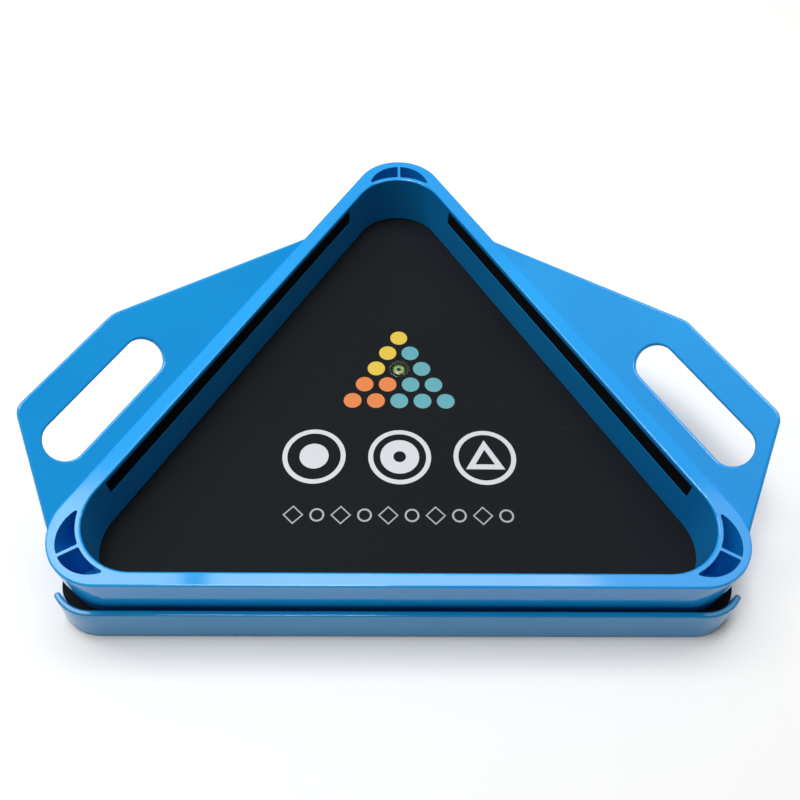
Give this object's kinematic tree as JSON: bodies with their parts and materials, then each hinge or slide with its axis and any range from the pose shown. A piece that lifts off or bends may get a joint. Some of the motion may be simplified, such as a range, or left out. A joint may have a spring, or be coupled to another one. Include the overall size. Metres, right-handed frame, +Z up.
{
  "type": "triangle rack",
  "caption": "Moulded triangular ball rack with rising hand grips, corner pockets, bumper strips and a floor plate with a level that slides out of the front.",
  "frame": {"origin": "under the middle of the whole rack's box, on the surface it stands on; the middle of the ball triangle is 36.6 mm nearer the front", "axes": "+X to the right, +Y towards the rear apex, +Z up; the drawer slides out along -Y"},
  "size_m": [0.352, 0.2884, 0.0734],
  "materials": {
    "blue_gloss": "gloss moulded",
    "black_rubber": "satin",
    "black_plate": "matte",
    "screw_steel": "zinc plated",
    "clear_level": "clear polished",
    "level_liquid": "clear tinted"
  },
  "bodies": {
    "frame": {"frame": "blue_gloss", "bumper_strip_left": "black_rubber", "bumper_strip_right": "black_rubber", "bumper_strip_front": "black_rubber"},
    "drawer": {"bottom_plate": "black_plate", "drawer_front": "blue_gloss", "front_screws": "screw_steel", "level_body": "clear_level", "level_plug": "clear_level", "level_fluid": "level_liquid"}
  },
  "joints": [
    {"name": "drawer_slide", "type": "slide", "parent": "frame", "child": "drawer", "axis": [0, -1, 0], "range_m": [0, 0.285]}
  ]
}
